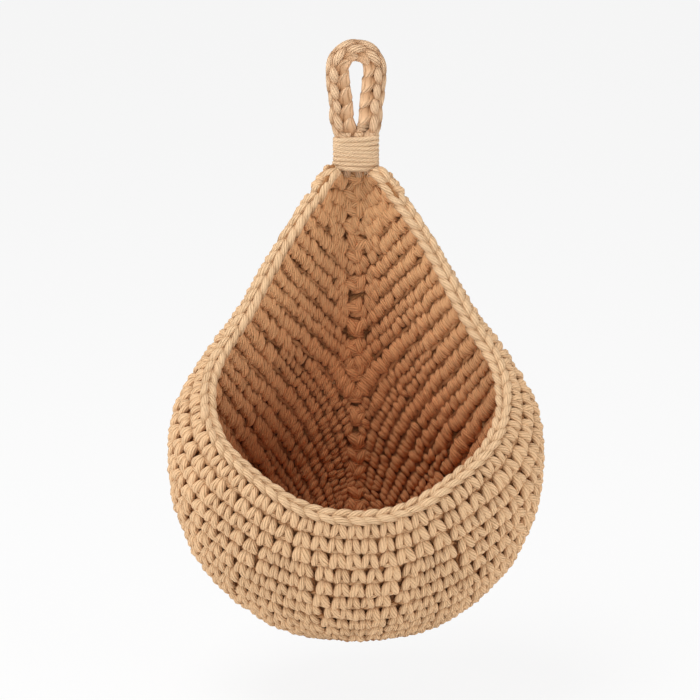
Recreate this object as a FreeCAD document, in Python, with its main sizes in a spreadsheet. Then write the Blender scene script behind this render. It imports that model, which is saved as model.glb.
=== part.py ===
import FreeCAD, Part
import math
import os
import Sketcher
from FreeCAD import Vector

# Hanging fruit basket: a soft pouch with an edged mouth, hung from a bound loop.
# Frame: X to the right, front towards -Y, Z up, origin on the hook seat at the top of the eye.

doc = FreeCAD.newDocument("HangingBasket")
sheet = doc.addObject("Spreadsheet::Sheet", "Sizes")

# Driving sizes in millimetres and degrees
SIZES = (
    ("basket_width", 223.0, "width of the pouch at its widest round"),
    ("basket_depth", 153.0, "wall plane to the front of the pouch"),
    ("basket_height", 272.0, "underside to the apex of the back panel"),
    ("wall_thick", 7.0, "thickness of the crocheted wall"),
    ("row_pitch", 14.0, "distance between the crochet rows along the wall"),
    ("row_relief", 2.8, "depth of the furrow between two rows"),
    ("mouth_start", 13.0, "mouth line to wall plane at the apex"),
    ("mouth_rake", 24.0, "forward lean of the upper mouth line from upright"),
    ("mouth_turn", 192.7, "underside to the centre of the bend in the mouth line"),
    ("mouth_bend", 40.0, "radius of that bend"),
    ("mouth_dip", 37.0, "fall of the middle mouth line from level"),
    ("lip_bend", 60.0, "radius where the mouth line droops to the front lip"),
    ("lip_dip", 58.0, "fall of the mouth line at the front lip from level"),
    ("lip_height", 82.0, "underside to the wall edge under the front lip"),
    ("seam_height", 20.0, "underside to the low end of the panel seam"),
    ("seam_depth", 26.0, "wall plane to the seam at that height"),
    ("seam_lean", 13.0, "forward lean of the seam from upright"),
    ("edging_cord", 9.0, "diameter of the edging braid on the mouth"),
    ("edging_drop", 11.0, "apex to the ends of the edging"),
    ("seat_gap", 0.3, "clearance between curved faces that meet"),
    ("hinge_radius", 5.0, "rounding of the apex tab under the binding"),
    ("tab_width", 30.0, "width of the apex tab"),
    ("tab_height", 18.0, "length of the apex tab below its rounding"),
    ("strap_wide", 15.0, "width of the loop strap seen from the front"),
    ("strap_thick", 9.5, "thickness of the loop strap front to back"),
    ("eye_wide", 6.0, "width of the eye"),
    ("eye_long", 33.0, "length of the eye"),
    ("leg_gap", 0.2, "gap between the strap legs at the top of the binding"),
    ("neck_long", 9.0, "eye to the top of the binding"),
    ("neck_wide", 23.0, "width of the gathered neck inside the binding"),
    ("neck_thick", 10.0, "thickness of the gathered neck inside the binding"),
    ("bind_cord", 2.55, "diameter of the binding cord"),
    ("bind_pitch", 3.0, "rise of the binding in one turn"),
    ("bind_turns", 7.0, "turns of the binding"),
    ("bind_fit", 0.2, "clearance between the binding and the neck"),
)
for row, (alias, value, note) in enumerate(SIZES, start=1):
    sheet.set("A%d" % row, alias)
    sheet.set("B%d" % row, str(value))
    sheet.set("C%d" % row, note)
    sheet.setAlias("B%d" % row, alias)
doc.recompute()


def size(alias):
    return float(sheet.get(alias))


# Levels and planes shared by several pieces, as expressions on the sizes
BIND_HIGH = "(Sizes.bind_turns * Sizes.bind_pitch + Sizes.bind_cord)"
BIND_TOP = "(-Sizes.eye_long - Sizes.neck_long)"
BIND_FOOT = "(%s - %s)" % (BIND_TOP, BIND_HIGH)
APEX = "(%s - Sizes.seat_gap)" % BIND_FOOT
HINGE = "(%s - Sizes.hinge_radius)" % APEX
UNDERSIDE = "(%s - Sizes.basket_height)" % APEX
WALL = "(Sizes.neck_thick / 2 + Sizes.bind_fit + Sizes.bind_cord)"


def level(expression):
    return float(doc.Sizes.evalExpression(expression.replace("Sizes.", "")))


def add(kind, name, bindings=None):
    piece = doc.addObject(kind, name)
    for prop, expression in (bindings or {}).items():
        piece.setExpression(prop, str(expression))
    return piece


def apply_rules(sketch, rules):
    # Constrain a sketch and bind the named sizes
    for number, (constraint, expression) in enumerate(rules):
        index = sketch.addConstraint(constraint)
        if expression:
            sketch.renameConstraint(index, "rule_%d" % number)
            sketch.setExpression("Constraints.rule_%d" % number, expression)


def joined(kind, name, base, tool):
    piece = doc.addObject(kind, name)
    piece.Base = base
    piece.Tool = tool
    return piece


# Level rounds of the pouch: shares of height, half width, half depth and centre distance from the wall
ROUNDS = (
    (0.000, 0.300, 0.290, 0.970),
    (0.020, 0.450, 0.455, 0.970),
    (0.065, 0.622, 0.650, 0.970),
    (0.150, 0.825, 0.850, 0.970),
    (0.260, 0.950, 0.967, 0.980),
    (0.390, 1.000, 1.000, 1.000),
    (0.500, 0.972, 0.900, 0.900),
    (0.600, 0.835, 0.730, 0.730),
    (0.700, 0.650, 0.590, 0.590),
    (0.800, 0.505, 0.475, 0.475),
    (0.900, 0.345, 0.360, 0.360),
    (1.000, 0.185, 0.220, 0.220),
)


def pouch_skin(name, inset):
    # One smooth skin through all rounds, drawn in by a share of the wall thickness
    rings = []
    drawn = "%g * Sizes.wall_thick" % inset
    for index, (high, wide, deep, back) in enumerate(ROUNDS):
        ring = add("Part::Ellipse", "%s_round_%d" % (name, index), {
            "MajorRadius": "Sizes.basket_width / 2 * %g - %s" % (wide, drawn),
            "MinorRadius": "Sizes.basket_depth / 2 * %g - %s" % (deep, drawn),
            "Placement.Base.y": "%s - Sizes.basket_depth / 2 * %g" % (WALL, back),
            "Placement.Base.z": "%s + %s + %g * (Sizes.basket_height - %s)" % (UNDERSIDE, drawn, high, drawn),
        })
        rings.append(ring)
    skin = add("Part::Loft", name)
    skin.Sections = rings
    skin.Solid = True
    skin.Ruled = False
    return skin


# Rows of the outer face: the shares of the height that show them, and points in the round
ROWS_FROM = 0.10
ROWS_TO = 0.90
ROUND_POINTS = 28
OUTLINE_STEPS = 1000


def pouch_outline():
    # The rounds joined into one smooth line of half width, half depth and centre distance
    outline = Part.BSplineCurve()
    heights = [item[0] for item in ROUNDS]
    outline.interpolate(Points=[Vector(*item[1:]) for item in ROUNDS], Parameters=heights)
    return outline


def row_levels(outline):
    # Crests and furrows by turns, half a row apart along the side of the pouch, as shares of the height
    shares = [step / OUTLINE_STEPS for step in range(OUTLINE_STEPS + 1)]
    travelled = [0.0]
    for low, high in zip(shares, shares[1:]):
        out = (outline.value(high).x - outline.value(low).x) * size("basket_width") / 2
        travelled.append(travelled[-1] + math.hypot(out, (high - low) * size("basket_height")))
    halves = 2 * round(travelled[-1] / size("row_pitch"))
    levels = []
    for number in range(halves + 1):
        goal = travelled[-1] * number / halves
        share = min(zip(travelled, shares), key=lambda pair: abs(pair[0] - goal))[1]
        levels.append((share, number % 2 if ROWS_FROM < share < ROWS_TO else 0))
    return levels


def rowed_skin(name):
    # Outer skin of the pouch as one rippled face with flat ends
    outline = pouch_outline()
    grid = []
    for share, furrow in row_levels(outline):
        spot = outline.value(share)
        wide = size("basket_width") / 2 * spot.x - furrow * size("row_relief")
        deep = size("basket_depth") / 2 * spot.y - furrow * size("row_relief")
        centre = level(WALL) - size("basket_depth") / 2 * spot.z
        height = level(UNDERSIDE) + share * size("basket_height")
        parts = [(step % ROUND_POINTS) / ROUND_POINTS for step in range(ROUND_POINTS + 1)]
        turns = [2 * math.pi * (part + 0.5) for part in parts]
        grid.append([Vector(wide * math.sin(a), centre + deep * math.cos(a), height) for a in turns])
    ripple = Part.BSplineSurface()
    ripple.interpolate(grid)
    side = ripple.toShape()
    ends = [edge for edge in side.Edges if edge.BoundBox.ZLength < size("seat_gap")]
    shell = Part.Shell([side] + [Part.Face(Part.Wire([edge])) for edge in ends])
    shell.sewShape()
    skin = doc.addObject("Part::Feature", name)
    skin.Shape = Part.Solid(shell)
    return skin


# Room that the mouth lines run on past the apex and past the front
OVER_TOP = 20
OVER_LIP = 30
SEAT = "(Sizes.edging_cord / 2 + Sizes.seat_gap)"


def facing(angle):
    return Vector(math.cos(angle), math.sin(angle), 0)


def corner(point, along, other, beside):
    # Where a line through point meets a line through other
    gap = other - point
    turn = along.x * beside.y - along.y * beside.x
    return point + along * ((gap.x * beside.y - gap.y * beside.x) / turn)


def mouth_lines(name, raised, closed):
    # Side view of the mouth: u runs forward from the wall plane, v up from the underside
    lift = SEAT if raised else "0"
    gap = level(lift)
    sketch = doc.addObject("Sketcher::SketchObject", name)
    sketch.Placement.Rotation = FreeCAD.Rotation(Vector(0, -1, 0), Vector(0, 0, 1), Vector(-1, 0, 0), "ZXY")
    sketch.setExpression("Placement.Base.y", WALL)
    sketch.setExpression("Placement.Base.z", UNDERSIDE)

    # Outward faces of the three straight runs, then the runs and the two bends between them
    rake = math.radians(size("mouth_rake"))
    dip = math.radians(size("mouth_dip"))
    droop = math.radians(size("lip_dip"))
    up_face = facing(rake)
    low_face = facing(math.pi / 2 - dip)
    lip_face = facing(math.pi / 2 - droop)
    up_run = facing(math.pi / 2 + rake)
    low_run = facing(math.pi - dip)
    lip_run = facing(math.pi - droop)
    inner_bend = size("mouth_bend") - gap
    outer_bend = size("lip_bend") + gap
    top = Vector(size("mouth_start") - OVER_TOP * math.tan(rake), size("basket_height") + OVER_TOP, 0)
    top = top + up_face * gap
    lip = Vector(size("basket_depth") + OVER_LIP, size("lip_height") - OVER_LIP * math.tan(droop), 0)
    lip = lip + lip_face * gap
    heart = corner(top + up_face * inner_bend, up_run, Vector(0, size("mouth_turn"), 0), Vector(1, 0, 0))
    first = heart - up_face * inner_bend
    second = heart - low_face * inner_bend
    drop_heart = corner(second - low_face * outer_bend, low_run, lip - lip_face * outer_bend, lip_run)
    third = drop_heart + low_face * outer_bend
    fourth = drop_heart + lip_face * outer_bend
    up_ring = Part.Circle(heart, Vector(0, 0, 1), inner_bend)
    lip_ring = Part.Circle(drop_heart, Vector(0, 0, 1), outer_bend)
    upper = sketch.addGeometry(Part.LineSegment(first, top))
    bend = sketch.addGeometry(Part.ArcOfCircle(up_ring, math.pi + rake, 1.5 * math.pi - dip))
    lower = sketch.addGeometry(Part.LineSegment(third, second))
    drop = sketch.addGeometry(Part.ArcOfCircle(lip_ring, math.pi / 2 - droop, math.pi / 2 - dip))
    front = sketch.addGeometry(Part.LineSegment(lip, fourth))
    rule = Sketcher.Constraint
    rules = [
        (rule("Tangent", upper, 1, bend, 1), None),
        (rule("Tangent", bend, 2, lower, 2), None),
        (rule("Tangent", lower, 1, drop, 2), None),
        (rule("Tangent", drop, 1, front, 2), None),
        (rule("Angle", upper, math.pi / 2 + rake), "(90 + Sizes.mouth_rake) * 1deg"),
        (rule("Angle", lower, math.pi - dip), "(180 - Sizes.mouth_dip) * 1deg"),
        (rule("Angle", front, math.pi - droop), "(180 - Sizes.lip_dip) * 1deg"),
        (rule("Radius", bend, inner_bend), "Sizes.mouth_bend - %s" % lift),
        (rule("Radius", drop, outer_bend), "Sizes.lip_bend + %s" % lift),
        (rule("DistanceY", -1, 1, bend, 3, heart.y), "Sizes.mouth_turn"),
        (rule("DistanceX", -1, 1, upper, 2, top.x),
         "Sizes.mouth_start - %d * tan(Sizes.mouth_rake * 1deg) + %s * cos(Sizes.mouth_rake * 1deg)"
         % (OVER_TOP, lift)),
        (rule("DistanceY", -1, 1, upper, 2, top.y),
         "Sizes.basket_height + %d + %s * sin(Sizes.mouth_rake * 1deg)" % (OVER_TOP, lift)),
        (rule("DistanceX", -1, 1, front, 1, lip.x),
         "Sizes.basket_depth + %d + %s * sin(Sizes.lip_dip * 1deg)" % (OVER_LIP, lift)),
        (rule("DistanceY", -1, 1, front, 1, lip.y),
         "Sizes.lip_height - %d * tan(Sizes.lip_dip * 1deg) + %s * cos(Sizes.lip_dip * 1deg)"
         % (OVER_LIP, lift)),
    ]
    if closed:
        far = Vector(lip.x, top.y, 0)
        rise = sketch.addGeometry(Part.LineSegment(lip, far))
        cover = sketch.addGeometry(Part.LineSegment(far, top))
        rules += [
            (rule("Coincident", front, 1, rise, 1), None),
            (rule("Coincident", rise, 2, cover, 1), None),
            (rule("Coincident", cover, 2, upper, 2), None),
            (rule("Vertical", rise), None),
            (rule("Horizontal", cover), None),
        ]
    apply_rules(sketch, rules)
    return sketch


def across(name, sketch, solid, width="Sizes.basket_width + 60"):
    # Carry a side view straight across the basket
    form = add("Part::Extrusion", name, {"LengthFwd": width})
    form.Base = sketch
    form.DirMode = "Normal"
    form.Symmetric = True
    form.Solid = solid
    return form


# Pouch wall between a rowed outer skin and a plain inner one, with the mouth cut away
outer_skin = rowed_skin("outer_skin")
inner_skin = pouch_skin("inner_skin", 1)
middle_skin = pouch_skin("middle_skin", 0.5)
mouth = across("mouth_room", mouth_lines("mouth_profile", False, True), True)
wall = joined("Part::Cut", "pouch_wall", outer_skin, inner_skin)
open_wall = joined("Part::Cut", "open_wall", wall, mouth)
# The seam plane parts the flat back panel from the bowl that is drawn forward of it
seam_slab = add("Part::Box", "seam_slab", {
    "Length": "Sizes.basket_width + 60",
    "Width": "200",
    "Height": "600",
    "Placement.Base.x": "-Sizes.basket_width / 2 - 30",
    "Placement.Base.y": "%s - Sizes.seam_depth + 200 * tan(Sizes.seam_lean * 1deg)" % WALL,
    "Placement.Base.z": "%s + Sizes.seam_height - 200" % UNDERSIDE,
    "Placement.Rotation.Angle": "Sizes.seam_lean * 1deg",
})
seam_slab.Placement.Rotation.Axis = Vector(1, 0, 0)
doc.recompute()
bowl = joined("Part::Cut", "bowl", open_wall, seam_slab)
panel_sheet = joined("Part::Common", "panel_sheet", open_wall, seam_slab)

# Apex of the panel: gathered into a tab with a rounded top that the neck rocks on
apex_room = add("Part::Box", "apex_room", {
    "Length": "Sizes.basket_width",
    "Width": "120",
    "Height": "80",
    "Placement.Base.x": "-Sizes.basket_width / 2",
    "Placement.Base.y": "-60",
    "Placement.Base.z": "%s - Sizes.hinge_radius / 4" % HINGE,
})
panel_foot = joined("Part::Cut", "panel_foot", panel_sheet, apex_room)
tab_profile = doc.addObject("Sketcher::SketchObject", "tab_profile")
tab_profile.Placement.Rotation = FreeCAD.Rotation(Vector(0, 1, 0), Vector(0, 0, 1), Vector(1, 0, 0), "ZXY")
tab_profile.setExpression("Placement.Base.z", "%s - Sizes.tab_height" % HINGE)


def draw_tab(sketch):
    # Upright slab with a half round top
    radius = size("hinge_radius")
    high = size("tab_height")
    ring = Part.Circle(Vector(0, high, 0), Vector(0, 0, 1), radius)
    foot = sketch.addGeometry(Part.LineSegment(Vector(-radius, 0, 0), Vector(radius, 0, 0)))
    front = sketch.addGeometry(Part.LineSegment(Vector(radius, 0, 0), Vector(radius, high, 0)))
    crown = sketch.addGeometry(Part.ArcOfCircle(ring, 0, math.pi))
    rear = sketch.addGeometry(Part.LineSegment(Vector(-radius, high, 0), Vector(-radius, 0, 0)))
    rule = Sketcher.Constraint
    apply_rules(sketch, (
        (rule("Coincident", foot, 2, front, 1), None),
        (rule("Tangent", front, 2, crown, 1), None),
        (rule("Tangent", crown, 2, rear, 1), None),
        (rule("Coincident", rear, 2, foot, 1), None),
        (rule("Horizontal", foot), None),
        (rule("Symmetric", foot, 1, foot, 2, -1, 1), None),
        (rule("PointOnObject", crown, 3, -2), None),
        (rule("Radius", crown, radius), "Sizes.hinge_radius"),
        (rule("DistanceY", -1, 1, crown, 3, high), "Sizes.tab_height"),
    ))


draw_tab(tab_profile)
apex_tab = across("apex_tab", tab_profile, True, "Sizes.tab_width")
back_panel = joined("Part::Fuse", "back_panel", panel_foot, apex_tab)

# Hanging loop: a strap bent round the eye, both legs gathered into one neck
STRAP_HALF = "(Sizes.strap_wide / 2)"
LEG = "(Sizes.strap_wide / 2 + Sizes.leg_gap / 2)"
loop_line = doc.addObject("Sketcher::SketchObject", "loop_line")
loop_line.Placement.Rotation = FreeCAD.Rotation(Vector(1, 0, 0), Vector(0, 0, 1), Vector(0, -1, 0), "ZXY")
loop_line.setExpression("Placement.Base.z", "%s + Sizes.seat_gap" % BIND_TOP)


def draw_loop(sketch):
    # Two legs from the neck, tangent to the bow over the eye
    rise = level("(eye_long + neck_long - seat_gap - eye_wide / 2)")
    bow = level("(eye_wide / 2 + strap_wide / 2)")
    leg = level(LEG)
    lean = math.acos(bow / math.hypot(leg, rise)) - math.atan2(rise, leg)
    touch = Vector(bow * math.cos(lean), rise + bow * math.sin(lean), 0)
    ring = Part.Circle(Vector(0, rise, 0), Vector(0, 0, 1), bow)
    left = sketch.addGeometry(Part.LineSegment(Vector(-leg, 0, 0), Vector(-touch.x, touch.y, 0)))
    arch = sketch.addGeometry(Part.ArcOfCircle(ring, lean, math.pi - lean))
    right = sketch.addGeometry(Part.LineSegment(touch, Vector(leg, 0, 0)))
    rule = Sketcher.Constraint
    rules = (
        (rule("Tangent", left, 2, arch, 2), None),
        (rule("Tangent", arch, 1, right, 1), None),
        (rule("PointOnObject", arch, 3, -2), None),
        (rule("Symmetric", left, 1, right, 2, -2), None),
        (rule("PointOnObject", left, 1, -1), None),
        (rule("Radius", arch, bow), "Sizes.eye_wide / 2 + Sizes.strap_wide / 2"),
        (rule("DistanceX", left, 1, right, 2, 2 * leg), "2 * %s" % LEG),
        (rule("DistanceY", -1, 1, arch, 3, rise),
         "Sizes.eye_long + Sizes.neck_long - Sizes.seat_gap - Sizes.eye_wide / 2"),
    )
    apply_rules(sketch, rules)


draw_loop(loop_line)
strap_end = add("Part::Ellipse", "strap_end", {
    "MajorRadius": STRAP_HALF,
    "MinorRadius": "Sizes.strap_thick / 2",
    "Placement.Base.x": "-%s" % LEG,
    "Placement.Base.z": "%s + Sizes.seat_gap" % BIND_TOP,
})
doc.recompute()
strap = doc.addObject("Part::Sweep", "strap")
strap.Sections = [strap_end]
strap.Spine = (loop_line, ["Edge1", "Edge2", "Edge3"])
strap.Solid = True
strap.Frenet = False
neck_foot = add("Part::Ellipse", "neck_foot", {
    "MajorRadius": "Sizes.neck_wide / 2",
    "MinorRadius": "Sizes.neck_thick / 2",
    "Placement.Base.z": BIND_FOOT,
})
neck_head = add("Part::Ellipse", "neck_head", {
    "MajorRadius": "Sizes.neck_wide / 2",
    "MinorRadius": "Sizes.neck_thick / 2",
    "Placement.Base.z": BIND_TOP,
})
neck_flare = add("Part::Ellipse", "neck_flare", {
    "MajorRadius": "Sizes.strap_wide + Sizes.leg_gap",
    "MinorRadius": "Sizes.strap_thick / 2",
    "Placement.Base.z": "-Sizes.eye_long",
})
neck = doc.addObject("Part::Loft", "neck")
neck.Sections = [neck_foot, neck_head, neck_flare]
neck.Solid = True
neck.Ruled = True
hanging_loop = doc.addObject("Part::MultiFuse", "hanging_loop")
hanging_loop.Shapes = [strap, neck]
doc.recompute()


def bent(start, heading, end):
    # Arc that leaves start along heading and reaches end
    chord = end - start
    side = chord - heading * chord.dot(heading)
    if side.Length < 1e-6:
        return Part.LineSegment(start, end).toShape()
    side.normalize()
    radius = chord.dot(chord) / (2 * chord.dot(side))
    half = math.atan2(chord.dot(side), chord.dot(heading))
    middle = start + heading * (radius * math.sin(half)) + side * (radius * (1 - math.cos(half)))
    return Part.Arc(start, middle, end).toShape()


def cord_line(points, headings):
    # Smooth chain of two arcs from each point to the next
    edges = []
    for start, end, out, into in zip(points, points[1:], headings, headings[1:]):
        span = end - start
        both = span.dot(out + into)
        bend = 2 * (1 - out.dot(into))
        square = span.dot(span)
        if bend < 1e-9:
            reach = square / (2 * both)
        else:
            reach = (math.sqrt(both * both + bend * square) - both) / bend
        meet = (start + out * reach + end - into * reach) * 0.5
        edges.append(bent(start, out, meet))
        turn = bent(end, into * -1, meet)
        turn.reverse()
        edges.append(turn)
    return edges


def cord(edges, thickness, start, heading):
    # Round cord along a chain of edges
    ring = Part.Wire([Part.Circle(start, heading, thickness / 2).toShape()])
    return Part.Wire(edges).makePipeShell([ring], True, False)


# Edging braid: follows the cut edge of the wall round the mouth, ends beside the apex tab
EDGING_STATIONS = 14
seat_face = across("edging_seat", mouth_lines("edging_profile", True, False), False)
doc.recompute()


def mouth_course():
    # Points from the middle of the lip up the right side to the edging's end
    crossing = middle_skin.Shape.section(seat_face.Shape)
    cloud = []
    for edge in crossing.Edges:
        cloud += edge.discretize(Distance=0.5)
    stop = level(APEX) - size("edging_drop")
    side = [point for point in cloud if point.x > -0.01 and point.z < stop]
    course = [min(side, key=lambda point: (round(abs(point.x), 1), point.z))]
    rest = [point for point in side if point.distanceToPoint(course[0]) > 0.2]
    while rest:
        near = min(rest, key=course[-1].distanceToPoint)
        course.append(near)
        rest = [point for point in rest if point.distanceToPoint(near) > 0.2]
    return course


def stations(course, count):
    # Even steps along the course, with headings from the neighbours of each step
    travelled = [0.0]
    for first, second in zip(course, course[1:]):
        travelled.append(travelled[-1] + first.distanceToPoint(second))
    picked = []
    for number in range(count + 1):
        goal = travelled[-1] * number / count
        index = min(range(len(course)), key=lambda k: abs(travelled[k] - goal))
        ahead = course[min(index + 4, len(course) - 1)]
        behind = course[max(index - 4, 0)]
        picked.append((course[index], (ahead - behind).normalize()))
    return picked


right_half = stations(mouth_course(), EDGING_STATIONS)
middle_point = Vector(0, right_half[0][0].y, right_half[0][0].z)
right_half[0] = (middle_point, Vector(1, 0, 0))
left_half = []
for point, heading in reversed(right_half[1:]):
    left_half.append((Vector(-point.x, point.y, point.z), Vector(heading.x, -heading.y, -heading.z)))
course = left_half + right_half
edging_edges = cord_line([point for point, heading in course], [heading for point, heading in course])
rim_edging = doc.addObject("Part::Feature", "rim_edging")
rim_edging.Shape = cord(edging_edges, size("edging_cord"), course[0][0], course[0][1])

# Binding: one cord wound round the neck, quarter turns, straight at both ends
QUARTER = math.pi / 2


def winding():
    wide = level("(neck_wide / 2 + bind_fit + bind_cord / 2)")
    deep = level("(neck_thick / 2 + bind_fit + bind_cord / 2)")
    pitch = size("bind_pitch")
    foot = level(BIND_FOOT) + size("bind_cord") / 2
    points = []
    headings = []
    for step in range(int(round(size("bind_turns") * 4)) + 1):
        turn = step * QUARTER
        points.append(Vector(wide * math.sin(turn), deep * math.cos(turn), foot + pitch * step / 4))
        flow = Vector(wide * math.cos(turn), -deep * math.sin(turn), pitch / (2 * math.pi))
        headings.append(flow.normalize())
    lead = points[0] - headings[0] * size("bind_cord")
    trail = points[-1] + headings[-1] * size("bind_cord")
    edges = [Part.LineSegment(lead, points[0]).toShape()]
    edges += cord_line(points, headings)
    edges.append(Part.LineSegment(points[-1], trail).toShape())
    return edges, lead, headings[0]


def least_gap(edges, thickness, turn_length):
    # Closest approach of the cord to itself, leaving out its own neighbourhood
    trace = []
    travelled = 0.0
    for edge in edges:
        steps = edge.discretize(Number=8)
        if trace and steps[0].distanceToPoint(trace[-1][1]) > 0.01:
            steps.reverse()
        for point in steps:
            if trace:
                travelled += point.distanceToPoint(trace[-1][1])
            trace.append((travelled, point))
    near = 1e9
    for index, (here, point) in enumerate(trace):
        for there, other in trace[index + 1:]:
            if there - here > turn_length:
                near = min(near, point.distanceToPoint(other))
    return near - thickness


bind_edges, bind_start, bind_heading = winding()
loop_binding = doc.addObject("Part::Feature", "loop_binding")
loop_binding.Shape = cord(bind_edges, size("bind_cord"), bind_start, bind_heading)
print("binding gap to itself", round(least_gap(bind_edges, size("bind_cord"), 25), 3))
doc.recompute()

# Check every object and write one file a piece
PIECES = (back_panel, bowl, rim_edging, hanging_loop, loop_binding)
for item in doc.Objects:
    if "Invalid" in item.State or "Error" in item.State:
        raise RuntimeError("%s is in state %s" % (item.Label, item.State))
os.makedirs("parts", exist_ok=True)
for piece in PIECES:
    if piece.Shape.isNull() or not piece.Shape.isValid():
        raise RuntimeError("%s has no valid shape" % piece.Label)
    if len(piece.Shape.Solids) != 1:
        raise RuntimeError("%s has %d solids" % (piece.Label, len(piece.Shape.Solids)))
    piece.Shape.exportStep("parts/%s.step" % piece.Label)
    print(piece.Label, round(piece.Shape.Volume), piece.Shape.optimalBoundingBox(True, False))
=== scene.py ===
import math

import bpy
import numpy as np
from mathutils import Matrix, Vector
from mathutils.bvhtree import BVHTree


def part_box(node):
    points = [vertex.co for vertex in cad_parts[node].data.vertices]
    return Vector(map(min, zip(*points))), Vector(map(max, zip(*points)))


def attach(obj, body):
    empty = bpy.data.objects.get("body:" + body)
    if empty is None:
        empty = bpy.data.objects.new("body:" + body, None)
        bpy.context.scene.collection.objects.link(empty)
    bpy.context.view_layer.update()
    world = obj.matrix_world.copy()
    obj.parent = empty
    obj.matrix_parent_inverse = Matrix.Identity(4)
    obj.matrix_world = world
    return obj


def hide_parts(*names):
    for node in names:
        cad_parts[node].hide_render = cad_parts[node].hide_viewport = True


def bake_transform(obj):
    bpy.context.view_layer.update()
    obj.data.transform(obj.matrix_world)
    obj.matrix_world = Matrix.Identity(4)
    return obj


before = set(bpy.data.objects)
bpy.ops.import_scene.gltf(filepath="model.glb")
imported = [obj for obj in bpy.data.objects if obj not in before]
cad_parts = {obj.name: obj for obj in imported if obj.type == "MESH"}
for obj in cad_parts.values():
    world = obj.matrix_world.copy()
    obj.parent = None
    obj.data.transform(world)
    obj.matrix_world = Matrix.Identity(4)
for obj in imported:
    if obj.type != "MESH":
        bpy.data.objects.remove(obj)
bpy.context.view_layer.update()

MM = 0.001
CHANCE = np.random.default_rng(7)
MIRROR = np.array([-1, 1, 1])
FAR_AWAY = 99.0

# Pouch outline: share of the height, half width, half depth, centre's distance from the wall
ROUNDS = (
    (0.000, 0.300, 0.290, 0.970),
    (0.020, 0.450, 0.455, 0.970),
    (0.065, 0.622, 0.650, 0.970),
    (0.150, 0.825, 0.850, 0.970),
    (0.260, 0.950, 0.967, 0.980),
    (0.390, 1.000, 1.000, 1.000),
    (0.500, 0.972, 0.900, 0.900),
    (0.600, 0.835, 0.730, 0.730),
    (0.700, 0.650, 0.590, 0.590),
    (0.800, 0.505, 0.475, 0.475),
    (0.900, 0.345, 0.360, 0.360),
    (1.000, 0.185, 0.220, 0.220),
)

# Pouch and cord sizes in millimetres
BASKET_DEEP = 153.0
HALF_WALL = 3.5
EDGING_RADIUS = 4.5
STITCH_WIDE = 8.7
STITCH_TALL = 10.4
FIRST_ROW = 1.0
BOTTOM_SWELL = 0.9

# Fineness of the level tables, and how far they run on above the apex
LEVEL_COUNT = 1600
BELOW_COUNT = 24
ABOVE_COUNT = 40
ABOVE_RUN = 14.0
SLOPE_SPAN = 60
LONGEST_MOVE = 6.0


def node_box(*names):
    """Low and high corner of the named nodes, in millimetres."""
    lows = np.array([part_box(name)[0] for name in names]) / MM
    highs = np.array([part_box(name)[1] for name in names]) / MM
    return lows.min(axis=0), highs.max(axis=0)


POUCH_LOW, POUCH_HIGH = node_box("bowl", "back_panel")
HALF_WIDE = (POUCH_HIGH[0] - POUCH_LOW[0]) / 2
HALF_DEEP = BASKET_DEEP / 2
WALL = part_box("loop_binding")[1][1] / MM
UNDERSIDE = POUCH_LOW[2]
TALL = POUCH_HIGH[2] - POUCH_LOW[2]


def unit(vectors):
    """The vectors at length one."""
    return vectors / np.maximum(np.linalg.norm(vectors, axis=-1, keepdims=True), 1e-9)


def smooth_through(stops, values, wanted):
    """A smooth curve through values at stops, read at wanted."""
    stops = np.asarray(stops, float)
    values = np.asarray(values, float)
    flat = values.ndim == 1
    values = values[:, None] if flat else values
    slopes = np.gradient(values, stops, axis=0)
    place = np.clip(np.searchsorted(stops, wanted) - 1, 0, len(stops) - 2)
    run = (stops[place + 1] - stops[place])[:, None]
    part = ((wanted - stops[place]) / run[:, 0])[:, None]
    square = part * part
    cube = square * part
    found = (
        (2 * cube - 3 * square + 1) * values[place]
        + (cube - 2 * square + part) * run * slopes[place]
        + (3 * square - 2 * cube) * values[place + 1]
        + (cube - square) * run * slopes[place + 1]
    )
    return found[:, 0] if flat else found


# Pouch's middle skin as level tables of the half width, depth ratio and centre
def level_tables():
    """Heights, squared half widths, depth ratios and centres of the skin."""
    table = np.array(ROUNDS)
    share = np.linspace(0, 1, LEVEL_COUNT)
    wide, deep, back = (smooth_through(table[:, 0], table[:, k], share) for k in (1, 2, 3))
    height = UNDERSIDE + HALF_WALL + share * (TALL - HALF_WALL)
    half_wide = wide * HALF_WIDE - HALF_WALL
    half_deep = deep * HALF_DEEP - HALF_WALL
    centre = WALL - HALF_DEEP * back
    ratio = (half_wide / half_deep) ** 2
    below = np.linspace(-BOTTOM_SWELL, 0, BELOW_COUNT)[:-1]
    above = np.linspace(0, ABOVE_RUN, ABOVE_COUNT)[1:]
    shrink = (half_wide[-1] - half_wide[-SLOPE_SPAN]) / (height[-1] - height[-SLOPE_SPAN])
    height = np.concatenate([height[0] + below, height, height[-1] + above])
    square = np.concatenate([
        half_wide[0] ** 2 * (1 + below / BOTTOM_SWELL),
        half_wide ** 2,
        (half_wide[-1] + shrink * above) ** 2,
    ])
    ratio = np.pad(ratio, (len(below), len(above)), mode="edge")
    centre = np.pad(centre, (len(below), len(above)), mode="edge")
    return height, square, ratio, centre


LEVELS, SQUARE, RATIO, CENTRE = level_tables()
SLOPES = [np.gradient(values, LEVELS) for values in (SQUARE, RATIO, CENTRE)]


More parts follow.
